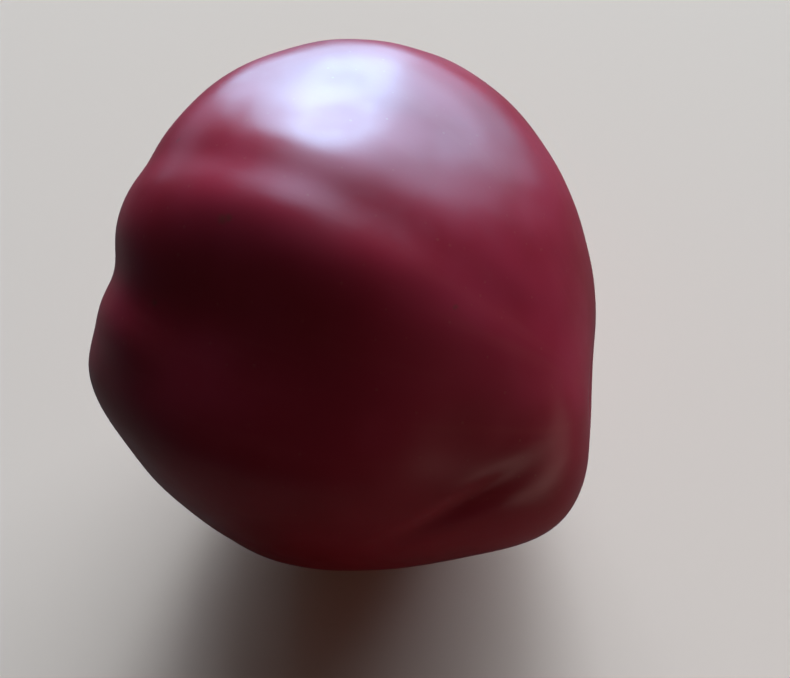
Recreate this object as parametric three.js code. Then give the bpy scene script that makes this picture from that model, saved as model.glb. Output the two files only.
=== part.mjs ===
// A large ripe tomato of the ribbed oxheart kind, lying on its side on a small flat spot.
//
// The fruit is one closed solid. Its skin is a surface around a middle point: each direction
// from the middle is given by a polar angle and a longitude, and skinRadius() says how far
// out the skin lies there. Polar angle 0 is the blossom end and 180 is the stem end.
// Longitude 0 is the upper side, 90 the front (-Y), 180 the underside and 270 the back.
//
// Units are millimetres and degrees, +Z is up, and the origin is the centre of the flat spot.

import * as THREE from 'three';

// The body without its ribs: half a smooth egg on each side of the widest ring.
// Fullness 2 is an ellipse; more is blunter and less is more pointed.
const GIRTH_RADIUS = 50.9;
const BLOSSOM_HALF_LENGTH = 48.4;
const STEM_HALF_LENGTH = 35.7;
const BLOSSOM_FULLNESS = 1.85;
const STEM_FULLNESS = 2.2;

// How the fruit lies: the blossom end points to the right and front, and slightly up.
const BLOSSOM_HEADING = -28;
const BLOSSOM_RISE = 6;
const MIDDLE = new THREE.Vector3(-2.8, 1.4, 53.2);

// The skin eases into the flat spot over this height instead of meeting it at an edge.
const SEAT_EASING = 0.2;

// Furrows between the ribs, from the stem end to the blossom end. Each has a longitude, how
// far it bows sideways on the blossom half, its depth on the shoulder, halfway along and near
// the blossom end, and its half width in degrees. A negative depth is a low ridge.
const FURROWS = [
  { longitude: 10, bow: 0, shoulder: 0.3, flank: 0.4, blossom: 0.2, width: 9 },
  { longitude: 19, bow: -4, shoulder: 0.5, flank: 0.75, blossom: 0.3, width: 4.8 },
  { longitude: 44, bow: 0, shoulder: 3.3, flank: 0, blossom: 0, width: 7 },
  { longitude: 59, bow: 0, shoulder: 3, flank: 0.6, blossom: 0, width: 8 },
  { longitude: 42, bow: 51, shoulder: 0, flank: 0, blossom: 1.6, width: 2.9 },
  { longitude: 108, bow: 0, shoulder: 2.5, flank: 0.5, blossom: 1, width: 10 },
  { longitude: 155, bow: 0, shoulder: 2.5, flank: 0.5, blossom: 1, width: 10 },
  { longitude: 205, bow: 0, shoulder: 2.5, flank: 0.3, blossom: 1, width: 10 },
  { longitude: 250, bow: 0, shoulder: 3, flank: 1, blossom: 1, width: 10 },
  { longitude: 292, bow: 0, shoulder: 2, flank: 0.5, blossom: 0.5, width: 10 },
  { longitude: 338, bow: 0, shoulder: 1.5, flank: 0, blossom: 0, width: 8 },
];

// Where along the fruit each of the three furrow depths holds, as polar angles.
const SHOULDER = { at: 140, reach: 32 };
const FLANK = { at: 85, reach: 34 };
const BLOSSOM_SIDE = { at: 37, reach: 12 };

// Where along the fruit a bowed furrow swings out most, as a polar angle.
const BOW = { at: 64, reach: 45 };

// Broad swellings and hollows of the body. Each stands at a polar angle and longitude, and
// reaches some degrees along the fruit and around it.
const SWELLINGS = [
  { polar: 20, longitude: 106, height: 8.6, along: 17, around: 24 },
  { polar: 40, longitude: 111, height: 2.5, along: 18, around: 28 },
  { polar: 100, longitude: 95, height: -2.9, along: 25, around: 25 },
  { polar: 124, longitude: 64, height: 3, along: 17, around: 14 },
  { polar: 83, longitude: 45, height: -4.3, along: 27, around: 14 },
  { polar: 58, longitude: 352, height: -2.2, along: 26, around: 19 },
  { polar: 88, longitude: 355, height: -3.2, along: 20, around: 18 },
  { polar: 109, longitude: 320, height: -3, along: 24, around: 13 },
  { polar: 85, longitude: 144, height: 2.4, along: 45, around: 25 },
  { polar: 85, longitude: 215, height: 4.6, along: 45, around: 32 },
  { polar: 120, longitude: 180, height: 2.4, along: 28, around: 40 },
  { polar: 45, longitude: 190, height: 2, along: 28, around: 45 },
  { polar: 68, longitude: 166, height: 4.2, along: 24, around: 20 },
];

// The stem cavity, with the corky scar where the stem came away, and the blossom scar.
const CAVITY_DEPTH = 7;
const CAVITY_RADIUS = 13;
const STEM_SCAR_RADIUS = 6;
const STEM_SCAR_RISE = 0.9;
// Share of the scar's radius that is level, before it slopes down at its edge.
const STEM_SCAR_PLATEAU = 0.75;
const STEM_SCAR_PIT_RADIUS = 1.6;
const STEM_SCAR_PIT_DEPTH = 1.1;
const BLOSSOM_DIMPLE_RADIUS = 4;
const BLOSSOM_DIMPLE_DEPTH = 0.5;

// Fineness of the mesh: rings from end to end, and points round each ring.
const RINGS = 46;
const POINTS_PER_RING = 84;
// Rings stand closer together at both ends, where the small shapes are: 0 would be even.
const END_CROWDING = 0.6;

const cosine = (angle) => Math.cos(THREE.MathUtils.degToRad(angle));
const sine = (angle) => Math.sin(THREE.MathUtils.degToRad(angle));

// 1 at the middle of a feature, falling smoothly to nothing past its reach.
const bell = (offset, reach) => Math.exp(-((offset / reach) ** 2));

// The shortest way round from one longitude to another, between -180 and 180.
const turnBetween = (from, to) => ((((to - from) % 360) + 540) % 360) - 180;

// 0 below the first edge, 1 above the second, and smooth between them.
const easeBetween = (low, high, value) => THREE.MathUtils.smoothstep(value, low, high);

function bodyRadius(polar) {
  const blossomHalf = polar < 90;
  const halfLength = blossomHalf ? BLOSSOM_HALF_LENGTH : STEM_HALF_LENGTH;
  const fullness = blossomHalf ? BLOSSOM_FULLNESS : STEM_FULLNESS;
  const along = (Math.abs(cosine(polar)) / halfLength) ** fullness;
  const around = (sine(polar) / GIRTH_RADIUS) ** fullness;
  return (along + around) ** (-1 / fullness);
}

function furrowDepth(furrow, polar, longitude) {
  const lengthwise = furrow.shoulder * bell(polar - SHOULDER.at, SHOULDER.reach)
    + furrow.flank * bell(polar - FLANK.at, FLANK.reach)
    + furrow.blossom * bell(polar - BLOSSOM_SIDE.at, BLOSSOM_SIDE.reach);
  const middle = furrow.longitude + furrow.bow * bell(polar - BOW.at, BOW.reach);
  const crosswise = turnBetween(middle, longitude) * sine(polar);
  return lengthwise * sine(polar) * bell(crosswise, furrow.width);
}

function swellingHeight(swelling, polar, longitude) {
  const lengthwise = bell(polar - swelling.polar, swelling.along);
  const shrink = Math.sqrt(sine(polar) * sine(swelling.polar));
  const crosswise = turnBetween(swelling.longitude, longitude) * shrink;
  return swelling.height * lengthwise * bell(crosswise, swelling.around);
}

// Height of the stem end's own shapes at a distance from the stem axis.
function stemEndHeight(distance) {
  const cavity = -CAVITY_DEPTH * bell(distance, CAVITY_RADIUS);
  const innerEdge = STEM_SCAR_RADIUS * STEM_SCAR_PLATEAU;
  const scar = STEM_SCAR_RISE * (1 - easeBetween(innerEdge, STEM_SCAR_RADIUS, distance));
  const pit = -STEM_SCAR_PIT_DEPTH * bell(distance, STEM_SCAR_PIT_RADIUS);
  return cavity + scar + pit;
}

function blossomEndHeight(distance) {
  return -BLOSSOM_DIMPLE_DEPTH * bell(distance, BLOSSOM_DIMPLE_RADIUS);
}

// Distance from the middle of the fruit to its skin.
function skinRadius(polar, longitude) {
  let radius = bodyRadius(polar);
  for (const furrow of FURROWS) {
    radius -= furrowDepth(furrow, polar, longitude);
  }
  for (const swelling of SWELLINGS) {
    radius += swellingHeight(swelling, polar, longitude);
  }
  const distance = bodyRadius(polar) * sine(polar);
  radius += polar < 90 ? blossomEndHeight(distance) : stemEndHeight(distance);
  return radius;
}

// The fruit's own directions: towards the blossom end, its upper side and its front side.
const TO_BLOSSOM = new THREE.Vector3(
  cosine(BLOSSOM_RISE) * cosine(BLOSSOM_HEADING),
  cosine(BLOSSOM_RISE) * sine(BLOSSOM_HEADING),
  sine(BLOSSOM_RISE),
);
const TO_UPPER_SIDE = new THREE.Vector3(0, 0, 1).projectOnPlane(TO_BLOSSOM).normalize();
const TO_FRONT = new THREE.Vector3().crossVectors(TO_BLOSSOM, TO_UPPER_SIDE);

// Presses a point that lies below the ground up onto it, and eases in what lies just above.
function seatedHeight(height) {
  if (height <= -SEAT_EASING) {
    return 0;
  }
  if (height >= SEAT_EASING) {
    return height;
  }
  return (height + SEAT_EASING) ** 2 / (4 * SEAT_EASING);
}

function skinPoint(polar, longitude) {
  const radius = skinRadius(polar, longitude);
  const point = MIDDLE.clone();
  point.addScaledVector(TO_BLOSSOM, radius * cosine(polar));
  point.addScaledVector(TO_UPPER_SIDE, radius * sine(polar) * cosine(longitude));
  point.addScaledVector(TO_FRONT, radius * sine(polar) * sine(longitude));
  point.z = seatedHeight(point.z);
  return point;
}

// Polar angle of a ring, from 0 for the blossom end to 180 for the stem end.
function ringPolar(ring) {
  const share = ring / RINGS;
  return 180 * (share - END_CROWDING * sine(360 * share) / (2 * Math.PI));
}

function tomatoGeometry() {
  const positions = [...skinPoint(0, 0)];
  for (let ring = 1; ring < RINGS; ring += 1) {
    for (let step = 0; step < POINTS_PER_RING; step += 1) {
      positions.push(...skinPoint(ringPolar(ring), 360 * step / POINTS_PER_RING));
    }
  }
  positions.push(...skinPoint(180, 0));

  const at = (ring, step) => 1 + (ring - 1) * POINTS_PER_RING + (step % POINTS_PER_RING);
  const blossomPole = 0;
  const stemPole = 1 + (RINGS - 1) * POINTS_PER_RING;
  const triangles = [];
  for (let step = 0; step < POINTS_PER_RING; step += 1) {
    triangles.push(blossomPole, at(1, step), at(1, step + 1));
    for (let ring = 1; ring < RINGS - 1; ring += 1) {
      triangles.push(at(ring, step), at(ring + 1, step), at(ring + 1, step + 1));
      triangles.push(at(ring, step), at(ring + 1, step + 1), at(ring, step + 1));
    }
    triangles.push(at(RINGS - 1, step), stemPole, at(RINGS - 1, step + 1));
  }

  const geometry = new THREE.BufferGeometry();
  geometry.setAttribute('position', new THREE.Float32BufferAttribute(positions, 3));
  geometry.setIndex(triangles);
  geometry.computeVertexNormals();
  return geometry;
}

const skin = new THREE.MeshStandardMaterial({ color: 0xb52a3b, roughness: 0.3, metalness: 0 });

const tomato = new THREE.Mesh(tomatoGeometry(), skin);
tomato.name = 'tomato';

const part = new THREE.Group();
part.add(tomato);

export default part;
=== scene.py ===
"""A large ripe oxheart tomato lying on its side, with its skin, stem scar and blossom scar.

The fruit's surface is given by a formula round a middle point, in the fruit's own directions:
polar angle 0 is the blossom end and 180 the stem end; longitude 0 is the upper side, 90 the
front, 180 the underside and 270 the back. Tables and relief are in millimetres and degrees;
Blender's objects are in metres.
"""

import math

import bpy
import numpy as np
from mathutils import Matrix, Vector


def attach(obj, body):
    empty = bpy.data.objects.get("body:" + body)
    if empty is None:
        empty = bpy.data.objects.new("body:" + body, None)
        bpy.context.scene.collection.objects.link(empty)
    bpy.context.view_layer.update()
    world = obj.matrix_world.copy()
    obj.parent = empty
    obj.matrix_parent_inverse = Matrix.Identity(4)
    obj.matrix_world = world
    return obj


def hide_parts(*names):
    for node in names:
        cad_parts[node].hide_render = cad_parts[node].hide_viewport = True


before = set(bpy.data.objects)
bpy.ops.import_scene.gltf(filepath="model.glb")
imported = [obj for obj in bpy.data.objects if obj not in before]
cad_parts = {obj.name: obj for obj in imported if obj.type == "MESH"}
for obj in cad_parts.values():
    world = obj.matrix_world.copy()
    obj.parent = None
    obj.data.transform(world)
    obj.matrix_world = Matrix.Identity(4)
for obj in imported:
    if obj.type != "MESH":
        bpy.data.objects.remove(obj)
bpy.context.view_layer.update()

bl_info = {
    "name": "Oxheart Tomato",
    "version": (1, 0, 0),
    "blender": (4, 5, 0),
    "location": "3D View > Sidebar > Tomato",
    "description": "Builds a ripe oxheart tomato with its skin and a plain studio stage",
    "category": "Add Mesh",
}

MM = 0.001
NODE = "tomato"
BODY = "root"

# ---------------------------------------------------------------- shape of the fruit

# Furrows between the ribs: longitude, how far the furrow bows sideways on the blossom half,
# depth on the shoulder, halfway along and near the blossom end, and half width in degrees.
FURROWS = (
    (10, 0, 0.3, 0.4, 0.2, 9),
    (19, -4, 0.5, 0.75, 0.3, 4.8),
    (44, 0, 3.3, 0, 0, 7),
    (59, 0, 3, 0.6, 0, 8),
    (42, 51, 0, 0, 1.6, 2.9),
    (108, 0, 2.5, 0.5, 1, 10),
    (155, 0, 2.5, 0.5, 1, 10),
    (205, 0, 2.5, 0.3, 1, 10),
    (250, 0, 3, 1, 1, 10),
    (292, 0, 2, 0.5, 0.5, 10),
    (338, 0, 1.5, 0, 0, 8),
)

# Where along the fruit each of the three furrow depths holds: polar angle and reach.
SHOULDER = (140, 32)
FLANK = (85, 34)
BLOSSOM_SIDE = (37, 12)

# Where along the fruit a bowed furrow swings out most: polar angle and reach.
BOW = (64, 45)

# Broad swellings and hollows: polar angle, longitude, height, reach along and around.
SWELLINGS = (
    (20, 106, 8.6, 17, 24),
    (40, 111, 2.5, 18, 28),
    (100, 95, -2.9, 25, 25),
    (124, 64, 3, 17, 14),
    (83, 45, -4.3, 27, 14),
    (58, 352, -2.2, 26, 19),
    (88, 355, -3.2, 20, 18),
    (109, 320, -3, 24, 13),
    (85, 144, 2.4, 45, 25),
    (85, 215, 4.6, 45, 32),
    (120, 180, 2.4, 28, 40),
    (45, 190, 2, 28, 45),
    (68, 166, 4.2, 24, 20),
)

# Waves round the edge of the stem scar: how many, height as a share of its radius, and start.
SCAR_EDGE_WAVES = ((5, 0.07, 20), (9, 0.05, 0))

# The corky plate of the stem scar, level up to a share of its radius, and the rim on it.
PLATE_HEIGHT = 0.6
PLATE_LEVEL = 0.8
RIM_HEIGHT = 0.45
RIM_PLACE = 0.82
RIM_REACH = 0.7

# What the stem leaves in the middle of the scar: a low stub with a pit in it.
STUB_HEIGHT = 0.7
STUB_REACH = 1.5
PIT_DEPTH = 0.9
PIT_REACH = 0.7

# Radial cracks in the stem scar: longitude, depth and reach from the stem axis.
SCAR_CRACKS = (
    (12, 0.5, 6.5),
    (58, 0.35, 4.5),
    (95, 0.5, 5.5),
    (140, 0.4, 7.0),
    (188, 0.35, 4.5),
    (222, 0.5, 6.0),
    (270, 0.4, 5.0),
    (318, 0.5, 7.0),
)

# Half width of a crack, and as shares of its reach, where it is deepest and how far it runs.
CRACK_HALF_WIDTH = 0.22
CRACK_MIDDLE = 0.5
CRACK_RUN = 0.4

# The shallow dimple round the blossom scar, and the dry nub in it.
DIMPLE_DEPTH = 0.5
DIMPLE_REACH = 4
NUB_HEIGHT = 0.3
NUB_REACH = 0.9

# Slight unevenness of the grown skin: period, height, direction and start of each wave.
SKIN_WAVES = (
    (31, 0.10, (1, 2, -1), 0.4),
    (27, 0.09, (-1, 1, 2), 2.1),
    (19, 0.05, (2, -1, 1), 4.0),
    (17, 0.05, (1, 1, 1), 1.3),
    (11, 0.02, (-2, 1, 1), 5.2),
    (9, 0.015, (1, -1, 2), 3.3),
)

# The middle point, and the height over which the skin eases into the flat spot.
MIDDLE = (-2.8, 1.4, 53.2)
SEAT_EASING = 0.2


def bell(offset, reach):
    """1 at the middle of a feature, falling smoothly to nothing past its reach."""
    return np.exp(-((offset / reach) ** 2))


def turn_between(start, end):
    """The shortest way round from one longitude to another, between -180 and 180."""
    return (end - start + 180) % 360 - 180


def ease_between(low, high, value):
    """0 below low, 1 above high, and smooth between them."""
    share = np.clip((value - low) / (high - low), 0, 1)
    return share * share * (3 - 2 * share)


def sine(angle):
    return np.sin(np.radians(angle))


def cosine(angle):
    return np.cos(np.radians(angle))


class Fruit:
    """The skin of the fruit over a grid of polar angles and longitudes."""

    def __init__(self, sizes):
        self.sizes = sizes
        heading = math.degrees(sizes.blossom_heading)
        rise = math.degrees(sizes.blossom_rise)
        self.to_blossom = Vector(
            (cosine(rise) * cosine(heading), cosine(rise) * sine(heading), sine(rise))
        )
        up = Vector((0, 0, 1))
        self.to_upper_side = (up - up.project(self.to_blossom)).normalized()
        self.to_front = self.to_blossom.cross(self.to_upper_side)

    def body_radius(self, polar):
        """The egg-like body without ribs."""
        s = self.sizes
        blossom_half = polar < 90
        half_length = np.where(blossom_half, s.blossom_half_length, s.stem_half_length) / MM
        fullness = np.where(blossom_half, s.blossom_fullness, s.stem_fullness)
        along = (np.abs(cosine(polar)) / half_length) ** fullness
        around = (sine(polar) / (s.girth_radius / MM)) ** fullness
        return (along + around) ** (-1 / fullness)

    def furrow_depth(self, polar, longitude):
        """How far all the furrows together take the skin in."""
        depth = np.zeros(np.broadcast(polar, longitude).shape)
        for start, bow, shoulder, flank, blossom, width in FURROWS:
            middle = start + bow * bell(polar - BOW[0], BOW[1])
            lengthwise = (
                shoulder * bell(polar - SHOULDER[0], SHOULDER[1])
                + flank * bell(polar - FLANK[0], FLANK[1])
                + blossom * bell(polar - BLOSSOM_SIDE[0], BLOSSOM_SIDE[1])
            )
            crosswise = turn_between(middle, longitude) * sine(polar)
            depth += lengthwise * sine(polar) * bell(crosswise, width)
        return depth

    def swelling_height(self, polar, longitude):
        """How far the swellings bring the skin out, and the hollows take it in."""
        height = np.zeros(np.broadcast(polar, longitude).shape)
        for at_polar, at_longitude, peak, along, around in SWELLINGS:
            shrink = np.sqrt(sine(polar) * sine(at_polar))
            crosswise = turn_between(at_longitude, longitude) * shrink
            height += peak * bell(polar - at_polar, along) * bell(crosswise, around)
        return height

    def scar_edge(self, longitude):
        """Radius of the corky stem scar, which is wavy all round."""
        waves = sum(
            height * cosine(count * longitude + start) for count, height, start in SCAR_EDGE_WAVES
        )
        return self.sizes.stem_scar_radius / MM * (1 + waves)

    def stem_end_height(self, distance, longitude):
        """The stem cavity and the corky scar in it, by distance from the stem axis."""
        s = self.sizes
        edge = self.scar_edge(longitude)
        cavity = -s.cavity_depth / MM * bell(distance, s.cavity_radius / MM)
        plate = PLATE_HEIGHT * (1 - ease_between(edge * PLATE_LEVEL, edge, distance))
        rim = RIM_HEIGHT * bell(distance - edge * RIM_PLACE, RIM_REACH)
        stub = STUB_HEIGHT * bell(distance, STUB_REACH) - PIT_DEPTH * bell(distance, PIT_REACH)
        cracks = np.zeros(np.broadcast(distance, longitude).shape)
        for middle, depth, reach in SCAR_CRACKS:
            aside = turn_between(middle, longitude) * math.pi / 180 * distance
            outward = bell(distance - CRACK_MIDDLE * reach, CRACK_RUN * reach)
            cracks += depth * bell(aside, CRACK_HALF_WIDTH) * outward
        return cavity + plate + rim + stub - cracks

    def blossom_end_height(self, distance):
        """The dimple round the blossom scar and the dry nub in it, by distance from the axis."""
        return NUB_HEIGHT * bell(distance, NUB_REACH) - DIMPLE_DEPTH * bell(distance, DIMPLE_REACH)

    def waviness(self, own):
        """The slight unevenness of the grown skin, at places in the fruit's own directions."""
        height = np.zeros(own.shape[:-1])
        for period, peak, direction, start in SKIN_WAVES:
            along = own @ (np.array(direction) / np.linalg.norm(direction))
            height += peak * np.sin(2 * math.pi * along / period + start)
        return height

    def skin_radius(self, polar, longitude):
        """Distance from the middle of the fruit to its skin."""
        radius = self.body_radius(polar)
        distance = radius * sine(polar)
        ends = np.where(
            polar < 90,
            self.blossom_end_height(distance),
            self.stem_end_height(distance, longitude),
        )
        swelling = self.swelling_height(polar, longitude)
        return radius - self.furrow_depth(polar, longitude) + swelling + ends

    def own_places(self, polar, longitude):
        """Skin points along the fruit's own three directions, in millimetres."""
        outward = np.stack(
            np.broadcast_arrays(
                cosine(polar),
                sine(polar) * cosine(longitude),
                sine(polar) * sine(longitude),
            ),
            axis=-1,
        )
        places = outward * self.skin_radius(polar, longitude)[..., None]
        return places + outward * self.waviness(places)[..., None]

    def room_places(self, own):
        """The same points as they lie in the room, pressed flat where they meet the ground."""
        axes = np.array([self.to_blossom, self.to_upper_side, self.to_front])
        places = own @ axes + np.array(MIDDLE)
        height = places[..., 2]
        eased = (height + SEAT_EASING) ** 2 / (4 * SEAT_EASING)
        seated = np.where(height < SEAT_EASING, eased, height)
        places[..., 2] = np.where(height < -SEAT_EASING, 0, seated)
        return places * MM


# ---------------------------------------------------------------- building helpers

# Which sockets of a Mix node take and give colours.
MIX_SHARE, MIX_FIRST, MIX_SECOND = 0, 6, 7
MIX_RESULT = 2


def new_object(name, data):
    """Puts an object into the scene."""
    made = bpy.data.objects.new(name, data)
    bpy.context.scene.collection.objects.link(made)
    return made


def settings():
    """The add-on's settings, kept on the scene."""
    return bpy.context.scene.tomato


class NodeSheet:
    """Adds shader nodes to a material or world and links them as they are made."""

    def __init__(self, owner):
        owner.use_nodes = True
        self.tree = owner.node_tree
        self.tree.nodes.clear()

    def add(self, kind, inputs=None, **options):
        """One node. An input given as a socket is linked, and any other value is set."""
        node = self.tree.nodes.new(kind)
        for name, value in options.items():
            setattr(node, name, value)
        for key, value in (inputs or {}).items():
            if isinstance(value, bpy.types.NodeSocket):
                self.tree.links.new(value, node.inputs[key])
            else:
                node.inputs[key].default_value = value
        return node

    def math(self, operation, *values):
        node = self.add("ShaderNodeMath", dict(enumerate(values)), operation=operation)
        return node.outputs["Value"]

    def vector_math(self, operation, *values):
        return self.add("ShaderNodeVectorMath", dict(enumerate(values)), operation=operation)

    def ease(self, value, low, high, start=0.0, end=1.0):
        """Maps low..high smoothly to start..end."""
        inputs = {
            "Value": value,
            "From Min": low,
            "From Max": high,
            "To Min": start,
            "To Max": end,
        }
        node = self.add("ShaderNodeMapRange", inputs, interpolation_type="SMOOTHSTEP")
        return node.outputs["Result"]

    def fade(self, value, change):
        """Nothing where a change starts, and its strength where it is full."""
        start, full, strength = change
        return self.ease(value, start, full, end=strength)

    def blend(self, share, first, second):
        """Mixes two colours."""
        inputs = {MIX_SHARE: share, MIX_FIRST: first, MIX_SECOND: second}
        return self.add("ShaderNodeMix", inputs, data_type="RGBA").outputs[MIX_RESULT]

    def mix_shaders(self, share, first, second):
        return self.add("ShaderNodeMixShader", {0: share, 1: first, 2: second}).outputs["Shader"]


def opaque(colour):
    return (*colour, 1.0)


# ---------------------------------------------------------------- skin

# The noises that vary the skin: scale, detail and roughness. Streaks and rays run from end to
# end of the fruit, and the others fill it, with their scale in turns per millimetre.
NOISES = {
    "patches": (0.045, 2.0, 0.5),
    "streaks": (7.0, 4.0, 0.6),
    "rays": (9.0, 3.0, 0.6),
    "ragged": (0.5, 3.0, 0.5),
    "grain": (2.2, 4.0, 0.5),
    "uneven": (1.4, 3.0, 0.6),
    "bloom": (0.12, 4.0, 0.6),
    "fine": (1.1, 2.0, 0.5),
    "cracks": (3.0, 5.0, 0.7),
}

# Nearly all of a noise lies between these two values.
NOISE_LOW, NOISE_HIGH = 0.3, 0.7

# Changes of colour: where each starts, where it is full, and how strong it is there.
# Patches, streaks and grain go by noise, and the painted shade in the furrows by their depth.
PATCHES = (0.35, 0.65, 1.0)
STREAKS = (0.5, 0.8, 0.35)
FURROW_PAINTED_SHADE = (0.5, 3.5, 0.5)
CORK_GRAIN = (NOISE_LOW, NOISE_HIGH, 1.0)

# The stem end and the blossom scar go by distance from the fruit's axis, and the cork by its
# share of the stem scar's radius.
SHOULDER_TINT = (30.0, 10.0, 0.55)
CAVITY_TINT = (15.0, 6.0, 0.8)
TIP_EDGE = (1.7, 1.3, 1.0)
CORK_EDGE = (1.04, 0.95, 1.0)

# How far noise pushes those edges in and out.
RAY_PUSH = 5.0
STEM_END_PUSH = 1.5
TIP_PUSH = 0.6
CORK_PUSH = 0.08

# Tiny pale dots: how close they stand, their edge, and which of them show.
SPECK_SCALE = 0.55
SPECK_EDGE = (0.16, 0.08, 1.0)
SPECK_CHANCE = (0.45, 0.9, 0.13)

# Small healed marks on the skin: polar angle, longitude and radius.
HEALED_MARKS = (
    (87.9, 26.4, 0.9),
    (86.9, 25.9, 0.7),
    (98.4, 43.7, 0.6),
    (47, 24, 0.5),
    (107, 14, 0.5),
    (120, 150, 0.8),
    (70, 235, 1.0),
    (68, 238, 0.6),
    (105, 285, 0.6),
    (40, 170, 0.5),
)

# A mark fades out at this many times its radius. Then how uneven its edge is, and its strength.
MARK_SPREAD = 1.3
MARK_PUSH = 0.15
MARK_STRENGTH = 0.4

# Gloss: the skin goes from glossy to satin with its bloom, and the cork is matt.
BLOOM_LOW, BLOOM_HIGH = 0.3, 0.75
SKIN_GLOSSY, SKIN_SATIN = 0.28, 0.38
CORK_ROUGHNESS = 0.85

# Height of the finest relief in millimetres, all over the skin and in the cracks of the cork.
FINE_RELIEF = 0.006
CORK_RELIEF = 0.3

# What is the same all over the skin.
SKIN_FINISH = {
    "IOR": 1.45,
    "Coat Weight": 0.1,
    "Coat Roughness": 0.25,
    "Coat IOR": 1.45,
    "Subsurface Weight": 0.12,
    "Subsurface Radius": (1.0, 0.25, 0.2),
    "Subsurface Scale": 0.003,
}


class SkinSheet(NodeSheet):
    """The skin's nodes, with what the mesh tells them about each place on the fruit."""

    def __init__(self, material):
        super().__init__(material)
        self.place = self.attribute("own_place", "Vector")
        self.around = self.attribute("around", "Vector")
        along = self.add("ShaderNodeSeparateXYZ", {"Vector": self.place}).outputs["X"]
        self.stem_side = self.math("LESS_THAN", along, 0.0)
        self.blossom_side = self.math("GREATER_THAN", along, 0.0)
        across = self.vector_math("MULTIPLY", self.place, (0.0, 1.0, 1.0)).outputs["Vector"]
        self.from_axis = self.vector_math("LENGTH", across).outputs["Value"]
        self.ragged = self.noise(self.place, "ragged")

    def attribute(self, name, output):
        return self.add("ShaderNodeAttribute", attribute_name=name).outputs[output]

    def noise(self, place, name):
        scale, detail, roughness = NOISES[name]
        inputs = {"Vector": place, "Scale": scale, "Detail": detail, "Roughness": roughness}
        return self.add("ShaderNodeTexNoise", inputs).outputs["Fac"]

    def pushed(self, value, noise, most):
        """A value that noise pushes up or down by the most given."""
        push = self.ease(noise, NOISE_LOW, NOISE_HIGH, -most, most)
        return self.math("ADD", value, push)


def ripe_colour(skin, colours):
    """Crimson with patches and faint streaks, and painted shade that darkens the furrows."""
    patches = skin.fade(skin.noise(skin.place, "patches"), PATCHES)
    colour = skin.blend(patches, opaque(colours.ripe), opaque(colours.deep_and_furrow_shade))
    streaks = skin.fade(skin.noise(skin.around, "streaks"), STREAKS)
    colour = skin.blend(streaks, colour, opaque(colours.streak))
    # Painted shade: the skin turns to the deep colour by furrow depth.
    painted_furrow_shade = skin.fade(skin.attribute("furrow", "Fac"), FURROW_PAINTED_SHADE)
    return skin.blend(painted_furrow_shade, colour, opaque(colours.deep_and_furrow_shade))


def stem_end_colour(skin, colours, colour):
    """Paler rays over the shoulders, and greenish skin in the stem cavity."""
    reach = skin.pushed(skin.from_axis, skin.noise(skin.around, "rays"), RAY_PUSH)
    reach = skin.pushed(reach, skin.ragged, STEM_END_PUSH)
    shoulder = skin.math("MULTIPLY", skin.fade(reach, SHOULDER_TINT), skin.stem_side)
    colour = skin.blend(shoulder, colour, opaque(colours.shoulder))
    cavity = skin.math("MULTIPLY", skin.fade(reach, CAVITY_TINT), skin.stem_side)
    return skin.blend(cavity, colour, opaque(colours.stem_end))


def cork_mask(skin):
    """1 on the corky stem scar."""
    edge = skin.pushed(skin.attribute("from_scar", "Fac"), skin.ragged, CORK_PUSH)
    return skin.math("MULTIPLY", skin.fade(edge, CORK_EDGE), skin.stem_side)


def cork_colour(skin, colours):
    grain = skin.fade(skin.noise(skin.place, "grain"), CORK_GRAIN)
    return skin.blend(grain, opaque(colours.cork), opaque(colours.cork_dark))


def tip_mask(skin):
    """1 on the dry nub of the blossom scar."""
    edge = skin.pushed(skin.from_axis, skin.ragged, TIP_PUSH)
    return skin.math("MULTIPLY", skin.fade(edge, TIP_EDGE), skin.blossom_side)


def speck_mask(skin):
    """The tiny dots, of which some are fainter than others and many don't show."""
    cells = skin.add(
        "ShaderNodeTexVoronoi", {"Vector": skin.place, "Scale": SPECK_SCALE, "Randomness": 1.0}
    )
    dots = skin.fade(cells.outputs["Distance"], SPECK_EDGE)
    chance = skin.add("ShaderNodeSeparateColor", {"Color": cells.outputs["Color"]})
    few = skin.fade(chance.outputs["Red"], SPECK_CHANCE)
    return skin.math("MULTIPLY", dots, few)


def mark_mask(skin, fruit):
    """The small healed marks, which fade out all round."""
    uneven = skin.noise(skin.place, "uneven")
    mask = None
    for polar, longitude, radius in HEALED_MARKS:
        middle = tuple(fruit.own_places(np.array(polar), np.array(longitude)))
        distance = skin.vector_math("DISTANCE", skin.place, middle).outputs["Value"]
        edge = skin.pushed(distance, uneven, MARK_PUSH)
        spot = skin.ease(edge, radius * MARK_SPREAD, 0.0)
        mask = spot if mask is None else skin.math("MAXIMUM", mask, spot)
    return skin.math("MULTIPLY", mask, MARK_STRENGTH)


def skin_roughness(skin, dry):
    """Waxy skin with a faint bloom, and matt cork."""
    bloom = skin.noise(skin.place, "bloom")
    roughness = skin.ease(bloom, BLOOM_LOW, BLOOM_HIGH, SKIN_GLOSSY, SKIN_SATIN)
    return skin.math("MAXIMUM", roughness, skin.math("MULTIPLY", dry, CORK_ROUGHNESS))


def skin_normal(skin, dry):
    """The finest relief, with rough cracks in the cork."""
    fine = skin.math("MULTIPLY", skin.noise(skin.place, "fine"), FINE_RELIEF)
    cracks = skin.math("MULTIPLY", skin.noise(skin.place, "cracks"), dry)
    relief = skin.math("ADD", fine, skin.math("MULTIPLY", cracks, CORK_RELIEF))
    bump = skin.add("ShaderNodeBump", {"Height": relief, "Strength": 1.0, "Distance": MM})
    return bump.outputs["Normal"]


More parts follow.
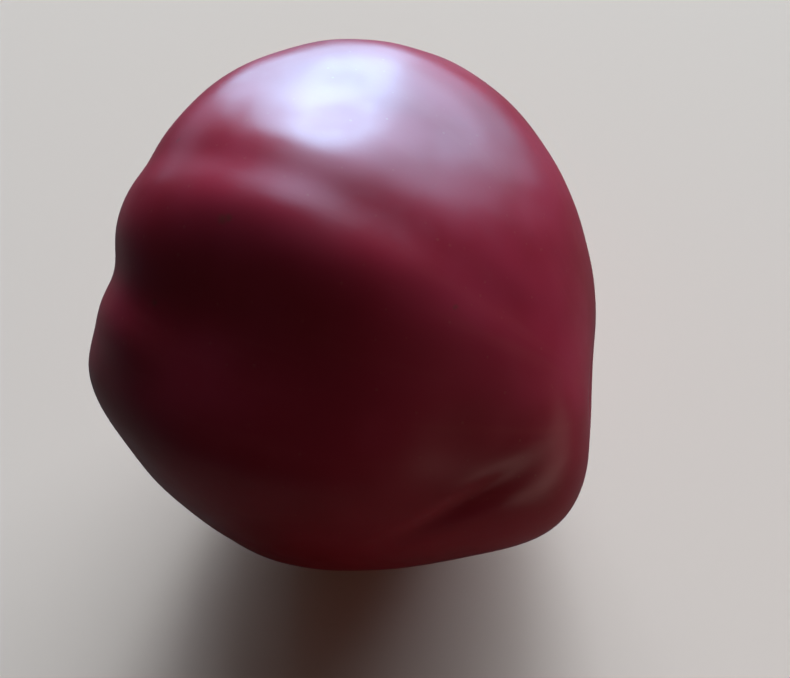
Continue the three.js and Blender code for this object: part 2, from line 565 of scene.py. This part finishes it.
def skin_material(colours, fruit):
    """Waxy crimson skin, with cork at the stem scar and the blossom scar."""
    material = bpy.data.materials.new("tomato_skin")
    skin = SkinSheet(material)
    colour = ripe_colour(skin, colours)
    colour = stem_end_colour(skin, colours, colour)
    cork = cork_mask(skin)
    colour = skin.blend(cork, colour, cork_colour(skin, colours))
    tip = tip_mask(skin)
    colour = skin.blend(tip, colour, opaque(colours.cork_dark))
    colour = skin.blend(speck_mask(skin), colour, opaque(colours.speck))
    colour = skin.blend(mark_mask(skin, fruit), colour, opaque(colours.cork_dark))
    dry = skin.math("MAXIMUM", cork, tip)
    varied = {
        "Base Color": colour,
        "Roughness": skin_roughness(skin, dry),
        "Normal": skin_normal(skin, dry),
    }
    shader = skin.add("ShaderNodeBsdfPrincipled", {**varied, **SKIN_FINISH})
    skin.add("ShaderNodeOutputMaterial", {"Surface": shader.outputs["BSDF"]})
    return material


# ---------------------------------------------------------------- settings


def length_setting(name, description, metres):
    return bpy.props.FloatProperty(
        name=name, description=description, default=metres, min=0.0, unit="LENGTH"
    )


def colour_setting(name, description, linear):
    return bpy.props.FloatVectorProperty(
        name=name,
        description=description,
        default=linear,
        size=3,
        min=0.0,
        max=1.0,
        subtype="COLOR",
    )


class TomatoSizes(bpy.types.PropertyGroup):
    """Driving sizes of the fruit."""

    girth_radius: length_setting("Girth radius", "Radius of the widest ring", 0.0509)
    blossom_half_length: length_setting(
        "Blossom half length", "From the widest ring to the blossom end", 0.0484
    )
    stem_half_length: length_setting(
        "Stem half length", "From the widest ring to the stem end", 0.0357
    )
    blossom_fullness: bpy.props.FloatProperty(
        name="Blossom fullness",
        description="2 is an ellipse; more is blunter, less is more pointed",
        default=1.85,
    )
    stem_fullness: bpy.props.FloatProperty(
        name="Stem fullness",
        description="2 is an ellipse; more is blunter, less is more pointed",
        default=2.2,
    )
    blossom_heading: bpy.props.FloatProperty(
        name="Blossom heading",
        description="Which way the blossom end points, turned from +X towards +Y",
        default=math.radians(-28),
        subtype="ANGLE",
    )
    blossom_rise: bpy.props.FloatProperty(
        name="Blossom rise",
        description="How far the blossom end points above level",
        default=math.radians(6),
        subtype="ANGLE",
    )
    cavity_depth: length_setting("Cavity depth", "Depth of the stem cavity", 0.007)
    cavity_radius: length_setting("Cavity radius", "Reach of the stem cavity", 0.013)
    stem_scar_radius: length_setting("Stem scar radius", "Radius of the corky scar", 0.006)
    rings: bpy.props.IntProperty(
        name="Rings", description="Rings of the mesh from end to end", default=280
    )
    points_per_ring: bpy.props.IntProperty(
        name="Points per ring", description="Points round each ring", default=320
    )
    end_crowding: bpy.props.FloatProperty(
        name="End crowding",
        description="How much closer the rings stand at both ends; 0 is even",
        default=0.6,
    )


class TomatoColours(bpy.types.PropertyGroup):
    """Colours of the skin and the scars."""

    ripe: colour_setting("Ripe skin", "Main colour of the skin", (0.5, 0.026, 0.045))
    # The deep colour gives the darker patches, and in the furrows it is painted shade.
    deep_and_furrow_shade: colour_setting("Deep skin", "Darker patches and furrows", (0.42, 0.016, 0.028))
    streak: colour_setting("Streaks", "Faint streaks from end to end", (0.52, 0.05, 0.05))
    shoulder: colour_setting("Shoulder", "Paler skin round the stem end", (0.42, 0.07, 0.025))
    stem_end: colour_setting("Stem end", "Skin in the stem cavity", (0.26, 0.13, 0.025))
    speck: colour_setting("Specks", "Tiny pale dots in the skin", (0.62, 0.24, 0.13))
    cork: colour_setting("Cork", "Corky scar", (0.42, 0.2, 0.08))
    cork_dark: colour_setting("Dark cork", "Grain of the corky scars", (0.14, 0.06, 0.025))


class TomatoStage(bpy.types.PropertyGroup):
    """Floor, lights and camera."""

    floor: colour_setting("Floor", "Colour of the floor", (0.91, 0.545, 0.37))
    pane_brightness: bpy.props.FloatProperty(
        name="Pane brightness", description="Radiance of a pane whose share is 1", default=20.5
    )
    room_brightness: bpy.props.FloatProperty(
        name="Room brightness", description="Even light from all sides", default=0.018
    )


class TomatoSettings(bpy.types.PropertyGroup):
    """All the settings together."""

    sizes: bpy.props.PointerProperty(type=TomatoSizes)
    colours: bpy.props.PointerProperty(type=TomatoColours)
    stage: bpy.props.PointerProperty(type=TomatoStage)


# ---------------------------------------------------------------- stage

CAMERA_PLACE = (0.0077, -0.0874, 0.1743)
CAMERA_LOOKS_DOWN = 56.3
CAMERA_LENS = 34.6
CAMERA_SENSOR = 36.0
CAMERA_NEAREST = 0.01

# The panes of soft light stand in a wall behind the fruit. Each has its edges in degrees as
# seen from the fruit (left, right, low, high), and its share of the brightness.
PANE_DISTANCE = 2.5
PANE_COLOUR = (0.42, 0.69, 1.0)
PANES = {
    "pane_high": (-6, 14, 26, 50, 1.25),
    "pane_high_left": (-18, -6, 26, 42, 0.53),
    "pane_middle": (-28, 14, 18, 26, 0.55),
    "pane_low": (-28, 14, 0, 18, 0.3),
    "pane_right": (14, 52, 24, 52, 0.44),
    "pane_right_low": (14, 52, 0, 24, 0.13),
    "pane_top": (-24, 40, 54, 72, 0.19),
    "pane_left": (-50, -28, 0, 26, 0.04),
}

# A small warm card low down at the front right, for the shape of the lower front. Its light
# spreads over an angle in degrees.
CARD_PLACE = (0.19, -0.14, 0.04)
CARD_SIZE = (0.28, 0.07)
CARD_SPREAD = 100
CARD_BRIGHTNESS = 0.32
CARD_COLOUR = (1.0, 0.68, 0.6)

WHITE = (1, 1, 1, 1)

# The plain backdrop, and the distances from the fruit between which the floor runs into it.
BACKDROP = (0.59, 0.58, 0.565, 1.0)
BACKDROP_STARTS, BACKDROP_FULL = 0.15, 0.6

# The light that the floor gives back to the fruit: near it and far from it, and the distances
# between which the first turns into the second.
BOUNCE_NEAR = (0.15, 0.083, 0.06, 1.0)
BOUNCE_FAR = (0.035, 0.035, 0.035, 1.0)
BOUNCE_TURNS, BOUNCE_TURNED = 0.15, 0.45

FLOOR_HALF = 4.0
FLOOR_ROUGHNESS = 0.9


def add_camera():
    camera = bpy.data.cameras.new("camera")
    camera.lens = CAMERA_LENS
    camera.sensor_width = CAMERA_SENSOR
    camera.clip_start = CAMERA_NEAREST
    stand = new_object("camera", camera)
    stand.location = CAMERA_PLACE
    stand.rotation_euler = (math.radians(90 - CAMERA_LOOKS_DOWN), 0, 0)
    bpy.context.scene.camera = stand


def add_lamp(name, width, height, brightness, colour):
    """A rectangular lamp of a given radiance, which the camera doesn't see."""
    lamp = bpy.data.lights.new(name, "AREA")
    lamp.shape = "RECTANGLE"
    lamp.size = width
    lamp.size_y = height
    lamp.energy = brightness * math.pi * lamp.size * lamp.size_y
    lamp.color = colour
    stand = new_object(name, lamp)
    stand.visible_camera = False
    return stand


def add_pane(name, brightness):
    *edges, share = PANES[name]
    left, right, low, high = (PANE_DISTANCE * math.tan(math.radians(edge)) for edge in edges)
    pane = add_lamp(name, right - left, high - low, brightness * share, PANE_COLOUR)
    pane.location = ((left + right) / 2, PANE_DISTANCE, (low + high) / 2)
    pane.rotation_euler = (math.radians(-90), 0, 0)


def add_card():
    card = add_lamp("card", *CARD_SIZE, CARD_BRIGHTNESS, CARD_COLOUR)
    card.data.spread = math.radians(CARD_SPREAD)
    card.location = CARD_PLACE
    to_fruit = Vector(MIDDLE) * MM - card.location
    card.rotation_euler = to_fruit.to_track_quat("-Z", "Y").to_euler()


def light_room(brightness):
    """Faint even light from all sides, with the plain backdrop in the camera's view."""
    world = bpy.data.worlds.new("room")
    sheet = NodeSheet(world)
    seen = sheet.add("ShaderNodeLightPath").outputs["Is Camera Ray"]
    even = sheet.add("ShaderNodeBackground", {"Color": WHITE, "Strength": brightness})
    plain = sheet.add("ShaderNodeBackground", {"Color": BACKDROP, "Strength": 1.0})
    mix = sheet.mix_shaders(seen, even.outputs["Background"], plain.outputs["Background"])
    sheet.add("ShaderNodeOutputWorld", {"Surface": mix})
    bpy.context.scene.world = world


def floor_material(colour):
    """Plain pale floor that runs out into the backdrop with distance from the fruit."""
    material = bpy.data.materials.new("floor")
    sheet = NodeSheet(material)
    seen = sheet.add("ShaderNodeLightPath").outputs["Is Camera Ray"]
    place = sheet.add("ShaderNodeNewGeometry").outputs["Position"]
    distance = sheet.vector_math("LENGTH", place).outputs["Value"]
    turned = sheet.ease(distance, BOUNCE_TURNS, BOUNCE_TURNED)
    bounce = sheet.blend(turned, BOUNCE_NEAR, BOUNCE_FAR)
    shader = sheet.add(
        "ShaderNodeBsdfPrincipled",
        {
            "Base Color": sheet.blend(seen, bounce, opaque(colour)),
            "Roughness": FLOOR_ROUGHNESS,
            "Specular IOR Level": 0.0,
        },
    )
    backdrop = sheet.add("ShaderNodeEmission", {"Color": BACKDROP, "Strength": 1.0})
    far = sheet.math("MULTIPLY", sheet.ease(distance, BACKDROP_STARTS, BACKDROP_FULL), seen)
    mix = sheet.mix_shaders(far, shader.outputs["BSDF"], backdrop.outputs["Emission"])
    sheet.add("ShaderNodeOutputMaterial", {"Surface": mix})
    return material


def add_floor(colour):
    half = FLOOR_HALF
    mesh = bpy.data.meshes.new("floor")
    corners = [(-half, -half, 0), (half, -half, 0), (half, half, 0), (-half, half, 0)]
    mesh.from_pydata(corners, [], [(0, 1, 2, 3)])
    mesh.materials.append(floor_material(colour))
    floor = new_object("floor", mesh)


class TOMATO_OT_stage(bpy.types.Operator):
    """Sets up the camera, the soft lights and the pale floor"""

    bl_idname = "tomato.stage"
    bl_label = "Build Stage"

    def execute(self, context):
        stage = settings().stage
        add_camera()
        for name in PANES:
            add_pane(name, stage.pane_brightness)
        add_card()
        light_room(stage.room_brightness)
        add_floor(stage.floor)
        context.scene.view_settings.view_transform = "Standard"
        return {"FINISHED"}


# ---------------------------------------------------------------- fruit


# Degrees along the fruit that count for as much as its radius in how streaks and rays vary.
STREAK_STRETCH = 360


def skin_grid(sizes):
    """Polar angle and longitude of every point: the blossom end, the rings, the stem end."""
    share = np.linspace(0, 1, sizes.rings + 1)
    crowding = sizes.end_crowding * np.sin(2 * math.pi * share) / (2 * math.pi)
    longitude = np.arange(sizes.points_per_ring) * 360 / sizes.points_per_ring
    rings, steps = np.meshgrid(180 * (share - crowding)[1:-1], longitude, indexing="ij")
    polar = np.concatenate([[0.0], rings.ravel(), [180.0]])
    return polar, np.concatenate([[0.0], steps.ravel(), [0.0]])


def skin_faces(rings, count):
    """Four-sided faces between the rings, and a fan of triangles at each end."""
    last = rings - 2
    stem_end = 1 + (last + 1) * count

    def at(ring, step):
        return 1 + ring * count + step % count

    faces = []
    for step in range(count):
        faces.append((0, at(0, step), at(0, step + 1)))
        for ring in range(last):
            faces.append(
                (at(ring, step), at(ring + 1, step), at(ring + 1, step + 1), at(ring, step + 1))
            )
        faces.append((at(last, step), stem_end, at(last, step + 1)))
    return faces


def fruit_mesh(fruit):
    """The fine skin mesh, with the attributes that its material reads."""
    polar, longitude = skin_grid(fruit.sizes)
    own = fruit.own_places(polar, longitude)
    mesh = bpy.data.meshes.new("tomato_fruit")
    places = [tuple(place) for place in fruit.room_places(own)]
    mesh.from_pydata(places, [], skin_faces(fruit.sizes.rings, fruit.sizes.points_per_ring))
    mesh.shade_smooth()

    def keep(name, kind, field, values):
        attribute = mesh.attributes.new(name, kind, "POINT")
        attribute.data.foreach_set(field, np.asarray(values, np.float32).ravel())

    around = [cosine(longitude), sine(longitude), polar / STREAK_STRETCH]
    from_axis = np.hypot(own[:, 1], own[:, 2])
    keep("own_place", "FLOAT_VECTOR", "vector", own)
    keep("around", "FLOAT_VECTOR", "vector", np.stack(around, axis=-1))
    keep("furrow", "FLOAT", "value", fruit.furrow_depth(polar, longitude))
    keep("from_scar", "FLOAT", "value", from_axis / fruit.scar_edge(longitude))
    return mesh


class TOMATO_OT_fruit(bpy.types.Operator):
    """Builds the whole fruit with its skin"""

    bl_idname = "tomato.fruit"
    bl_label = "Build Fruit"

    def execute(self, context):
        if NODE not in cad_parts:
            raise RuntimeError("the frame has no node named " + NODE)
        shape = Fruit(settings().sizes)
        mesh = fruit_mesh(shape)
        mesh.materials.append(skin_material(settings().colours, shape))
        fruit = new_object("tomato_fruit", mesh)
        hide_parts(NODE)
        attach(fruit, BODY)
        return {"FINISHED"}


class TOMATO_PT_panel(bpy.types.Panel):
    """Lists the building steps and their settings"""

    bl_label = "Tomato"
    bl_idname = "TOMATO_PT_panel"
    bl_space_type = "VIEW_3D"
    bl_region_type = "UI"
    bl_category = "Tomato"

    def draw(self, context):
        tomato = context.scene.tomato
        for group in (tomato.sizes, tomato.colours, tomato.stage):
            box = self.layout.box()
            for name in group.bl_rna.properties.keys():
                if name not in ("rna_type", "name"):
                    box.prop(group, name)
        for operator in STEPS:
            self.layout.operator(operator.bl_idname)


STEPS = (TOMATO_OT_stage, TOMATO_OT_fruit)
CLASSES = (TomatoSizes, TomatoColours, TomatoStage, TomatoSettings, *STEPS, TOMATO_PT_panel)


def register():
    for made in CLASSES:
        bpy.utils.register_class(made)
    bpy.types.Scene.tomato = bpy.props.PointerProperty(type=TomatoSettings)


def unregister():
    del bpy.types.Scene.tomato
    for made in reversed(CLASSES):
        bpy.utils.unregister_class(made)


def main():
    register()
    bpy.ops.tomato.stage()
    bpy.ops.tomato.fruit()


if __name__ == "__main__":
    main()
